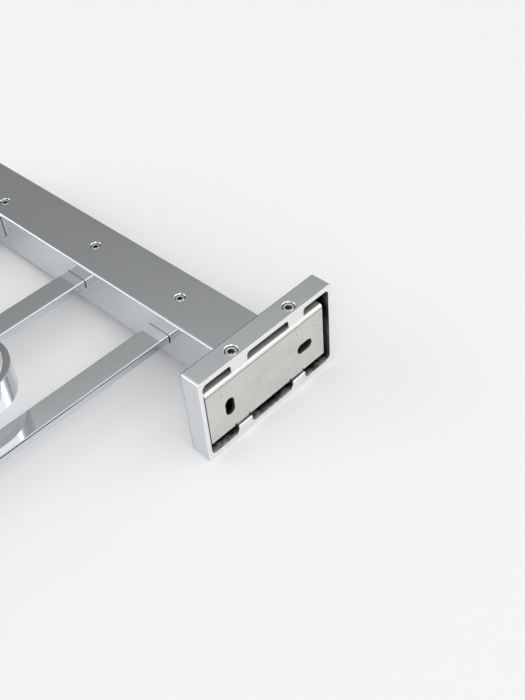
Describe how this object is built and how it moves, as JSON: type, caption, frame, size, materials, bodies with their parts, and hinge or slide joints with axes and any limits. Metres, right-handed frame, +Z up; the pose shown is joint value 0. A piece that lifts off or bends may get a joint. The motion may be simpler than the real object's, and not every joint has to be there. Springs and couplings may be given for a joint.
{
  "type": "wall-mounted towel rack",
  "caption": "Chromed towel rack: side beams on slotted wall plates and flanges, flat shelf bars, a square front rail and a bent flat-strip towel rail beneath.",
  "frame": {"origin": "on the wall plane, halfway between the two flanges, at mid-height of flanges and beams", "axes": "+X along the wall, +Y towards the wall (the rack reaches out along -Y), +Z up as the rack lies on its shelf side with its underside and screws up; on the wall it is turned over, so +Z then points down"},
  "size_m": [0.6, 0.236, 0.051],
  "materials": {
    "chrome": "polished chrome plate on brass",
    "stainless_plate": "plain rolled stainless sheet, slightly marked",
    "screw_steel": "bright stainless screws with dark hexagon sockets",
    "plain_brass": "machined, unplated, hidden in the beams"
  },
  "bodies": {
    "rack": {"beam_anchor_block_left": "plain_brass", "beam_anchor_block_right": "plain_brass", "beam_end_cap_left": "chrome", "beam_end_cap_right": "chrome", "flange_bolt_left_inner": "screw_steel", "flange_bolt_left_outer": "screw_steel", "flange_bolt_right_inner": "screw_steel", "flange_bolt_right_outer": "screw_steel", "front_rail": "chrome", "middle_bar_socket_left": "plain_brass", "middle_bar_socket_right": "plain_brass", "middle_grub_screw_left": "screw_steel", "middle_grub_screw_right": "screw_steel", "middle_shelf_bar": "chrome", "rail_grub_screw_left": "screw_steel", "rail_grub_screw_right": "screw_steel", "rear_bar_socket_left": "plain_brass", "rear_bar_socket_right": "plain_brass", "rear_grub_screw_left": "screw_steel", "rear_grub_screw_right": "screw_steel", "rear_shelf_bar": "chrome", "side_beam_left": "chrome", "side_beam_right": "chrome", "towel_rail": "chrome", "wall_flange_left": "chrome", "wall_flange_right": "chrome"},
    "left_plate": {"wall_plate_left": "stainless_plate"},
    "right_plate": {"wall_plate_right": "stainless_plate"},
    "left_inner_screw": {"set_screw_left_inner": "screw_steel"},
    "left_outer_screw": {"set_screw_left_outer": "screw_steel"},
    "right_inner_screw": {"set_screw_right_inner": "screw_steel"},
    "right_outer_screw": {"set_screw_right_outer": "screw_steel"}
  },
  "joints": [
    {"name": "left_plate_slide", "type": "slide", "parent": "rack", "child": "left_plate", "axis": [-1, 0, 0], "range_m": [-0.0003, 0.0039]},
    {"name": "right_plate_slide", "type": "slide", "parent": "rack", "child": "right_plate", "axis": [1, 0, 0], "range_m": [-0.0003, 0.0039]},
    {"name": "left_inner_screw_travel", "type": "slide", "parent": "rack", "child": "left_inner_screw", "axis": [0, 0, 1], "range_m": [0, 0.003]},
    {"name": "left_outer_screw_travel", "type": "slide", "parent": "rack", "child": "left_outer_screw", "axis": [0, 0, 1], "range_m": [0, 0.003]},
    {"name": "right_inner_screw_travel", "type": "slide", "parent": "rack", "child": "right_inner_screw", "axis": [0, 0, 1], "range_m": [0, 0.003]},
    {"name": "right_outer_screw_travel", "type": "slide", "parent": "rack", "child": "right_outer_screw", "axis": [0, 0, 1], "range_m": [0, 0.003]}
  ]
}
